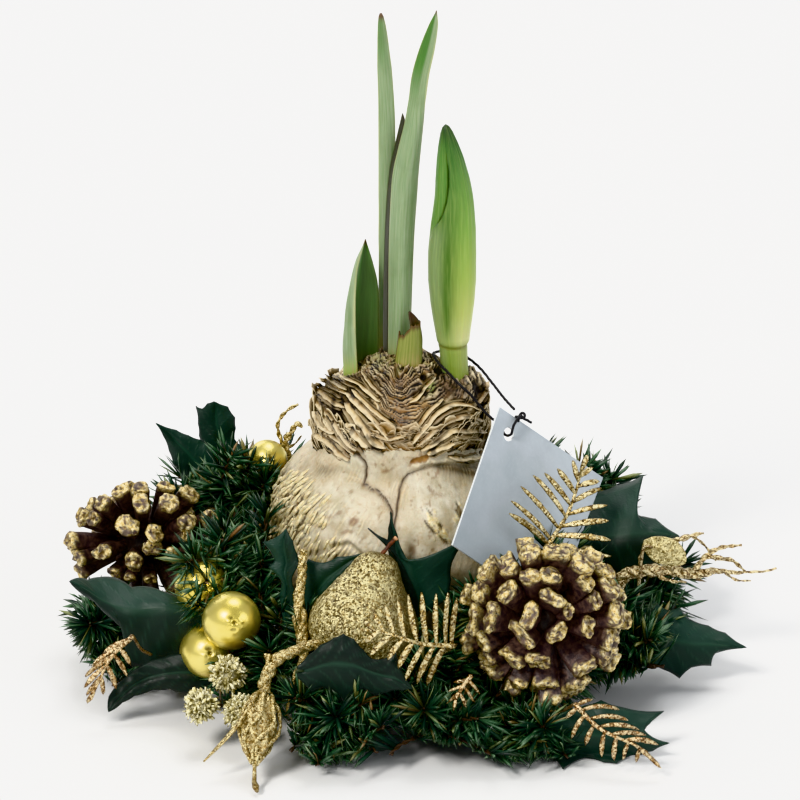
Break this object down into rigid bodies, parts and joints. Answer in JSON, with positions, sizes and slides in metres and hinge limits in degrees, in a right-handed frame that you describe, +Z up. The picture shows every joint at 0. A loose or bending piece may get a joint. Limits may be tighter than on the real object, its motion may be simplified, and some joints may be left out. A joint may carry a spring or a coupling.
{
  "type": "waxed amaryllis bulb in a decorated wreath",
  "caption": "Waxed amaryllis bulb with leaves and a flower bud, standing in a wreath of artificial pine, holly, cones, gold baubles and glitter picks, with a card tag on a cord.",
  "frame": {"origin": "centre of the bulb's flat wax foot, on the surface it stands on", "axes": "+Z up through the bulb and its leaves, -Y towards the dressed show side, +X to the right of that side"},
  "size_m": [0.2607, 0.225, 0.2541],
  "materials": {
    "wax_cream": "satin wax with gold blush",
    "bulb_tunic": "dry papery skin, gilded ridges",
    "leaf_green": "living leaf, satin",
    "bud_green": "living bud sheath, satin",
    "pine_green": "cut foil needles on twisted wire",
    "holly_green": "pressed satin cloth leaf",
    "cone_brown": "dry cone scales with gilded tips",
    "gold_gloss": "mirror gold plating",
    "gold_glitter": "gold glitter over moulded plastic",
    "wire_green": "dark green lacquered wire",
    "stem_brown": "brown moulded stalk",
    "card_grey": "smooth printed card, blue-grey",
    "cord_black": "twisted black cord"
  },
  "bodies": {
    "root": {"bauble_back": "gold_gloss", "bauble_front": "gold_gloss", "bauble_hidden": "gold_gloss", "bauble_low": "gold_gloss", "bulb": "bulb_tunic", "curly_twig": "gold_glitter", "flower_bud": "bud_green", "glitter_berry_left": "gold_glitter", "glitter_berry_low": "gold_glitter", "glitter_berry_upper": "gold_glitter", "glitter_leaf_right": "gold_glitter", "glitter_pear": "gold_glitter", "glitter_pod": "gold_glitter", "glitter_twig_bent": "gold_glitter", "glitter_twig_front": "gold_glitter", "glitter_twig_right": "gold_glitter", "gold_fern_front_right": "gold_glitter", "gold_fern_left": "gold_glitter", "gold_fern_pear": "gold_glitter", "gold_fern_small": "gold_glitter", "gold_fern_tag": "gold_glitter", "holly_leaf_back": "holly_green", "holly_leaf_back_left": "holly_green", "holly_leaf_back_right": "holly_green", "holly_leaf_behind_twig": "holly_green", "holly_leaf_centre": "holly_green", "holly_leaf_far_left": "holly_green", "holly_leaf_front_right": "holly_green", "holly_leaf_left_lower": "holly_green", "holly_leaf_left_upper": "holly_green", "holly_leaf_right_lower": "holly_green", "holly_leaf_right_upper": "holly_green", "holly_leaf_slim": "holly_green", "holly_leaf_top_left": "holly_green", "holly_leaf_under_pear": "holly_green", "leaf_short": "leaf_green", "leaf_stub": "leaf_green", "leaf_tall_left": "leaf_green", "leaf_tall_right": "leaf_green", "pear_stem": "stem_brown", "pine_sprig_back": "pine_green", "pine_sprig_back_left": "pine_green", "pine_sprig_back_right": "pine_green", "pine_sprig_back_upright": "pine_green", "pine_sprig_east": "pine_green", "pine_sprig_front": "pine_green", "pine_sprig_front_right": "pine_green", "pine_sprig_left": "pine_green", "pine_sprig_low_right": "pine_green", "pine_sprig_mid_left": "pine_green", "pine_sprig_right": "pine_green", "pine_sprig_top_left": "pine_green", "pine_sprig_top_right": "pine_green", "pine_sprig_upper_left": "pine_green", "pinecone_left": "cone_brown", "pinecone_right": "cone_brown", "tag": "card_grey", "tag_string": "cord_black", "wax_coat": "wax_cream", "wreath_ring": "wire_green"}
  },
  "joints": []
}
